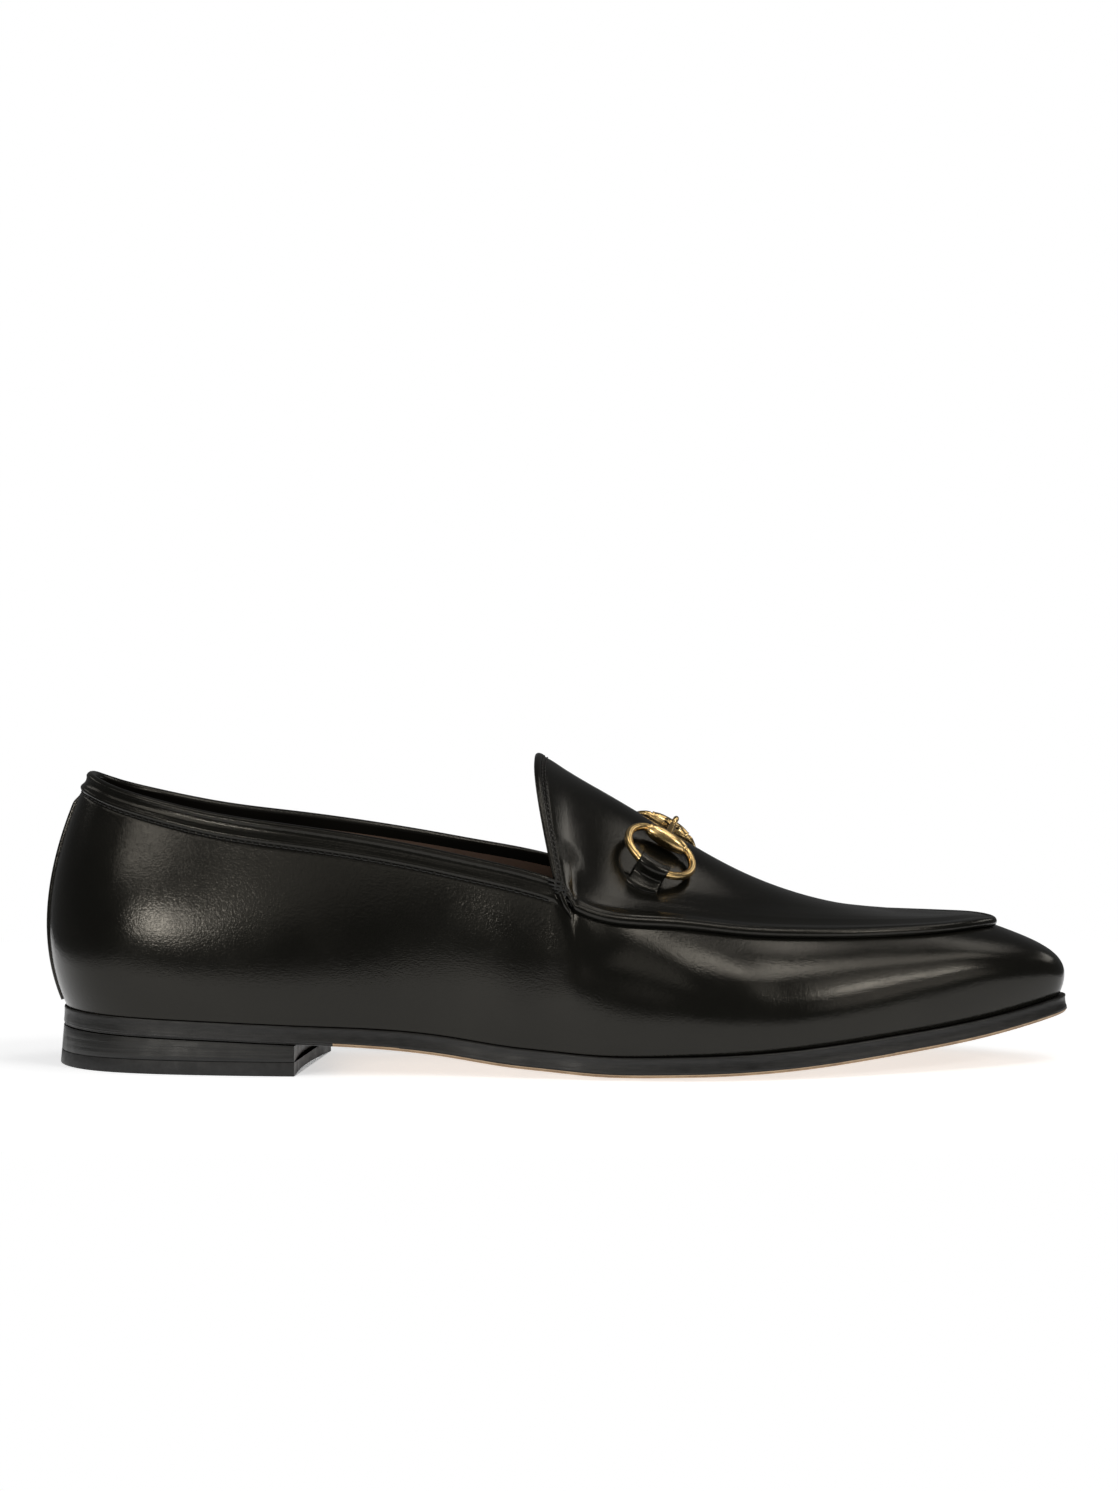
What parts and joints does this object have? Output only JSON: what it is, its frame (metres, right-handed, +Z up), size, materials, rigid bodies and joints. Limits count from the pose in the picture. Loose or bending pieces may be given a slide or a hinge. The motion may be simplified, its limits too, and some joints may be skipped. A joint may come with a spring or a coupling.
{
  "type": "loafer",
  "caption": "Women's black leather bit loafer, right shoe, with an almond toe, a stitched-on apron, a brass snaffle bit over the instep and a low stacked heel.",
  "frame": {"origin": "middle of the shoe's bounding box in plan, on the floor that it stands on", "axes": "+X from the heel to the toe, +Y to the inner (medial) side of the foot, +Z up"},
  "size_m": [0.2664, 0.0836, 0.0803],
  "materials": {
    "upper_leather": "smooth black calf, satin to glossy",
    "sole_leather": "black dyed sole edge, natural tan underneath",
    "heel_leather": "black dyed leather layers",
    "top_piece_rubber": "matte black",
    "lining_leather": "soft dark lining, reddish brown where light falls in",
    "brass": "polished pale gold"
  },
  "bodies": {
    "root": {"upper": "upper_leather", "back_strip": "upper_leather", "insole": "lining_leather", "outsole": "sole_leather", "heel_stack": "heel_leather", "top_piece": "top_piece_rubber", "lateral_bar": "brass", "lateral_ring": "brass", "lateral_loop": "upper_leather", "medial_bar": "brass", "medial_ring": "brass", "medial_loop": "upper_leather"}
  },
  "joints": []
}
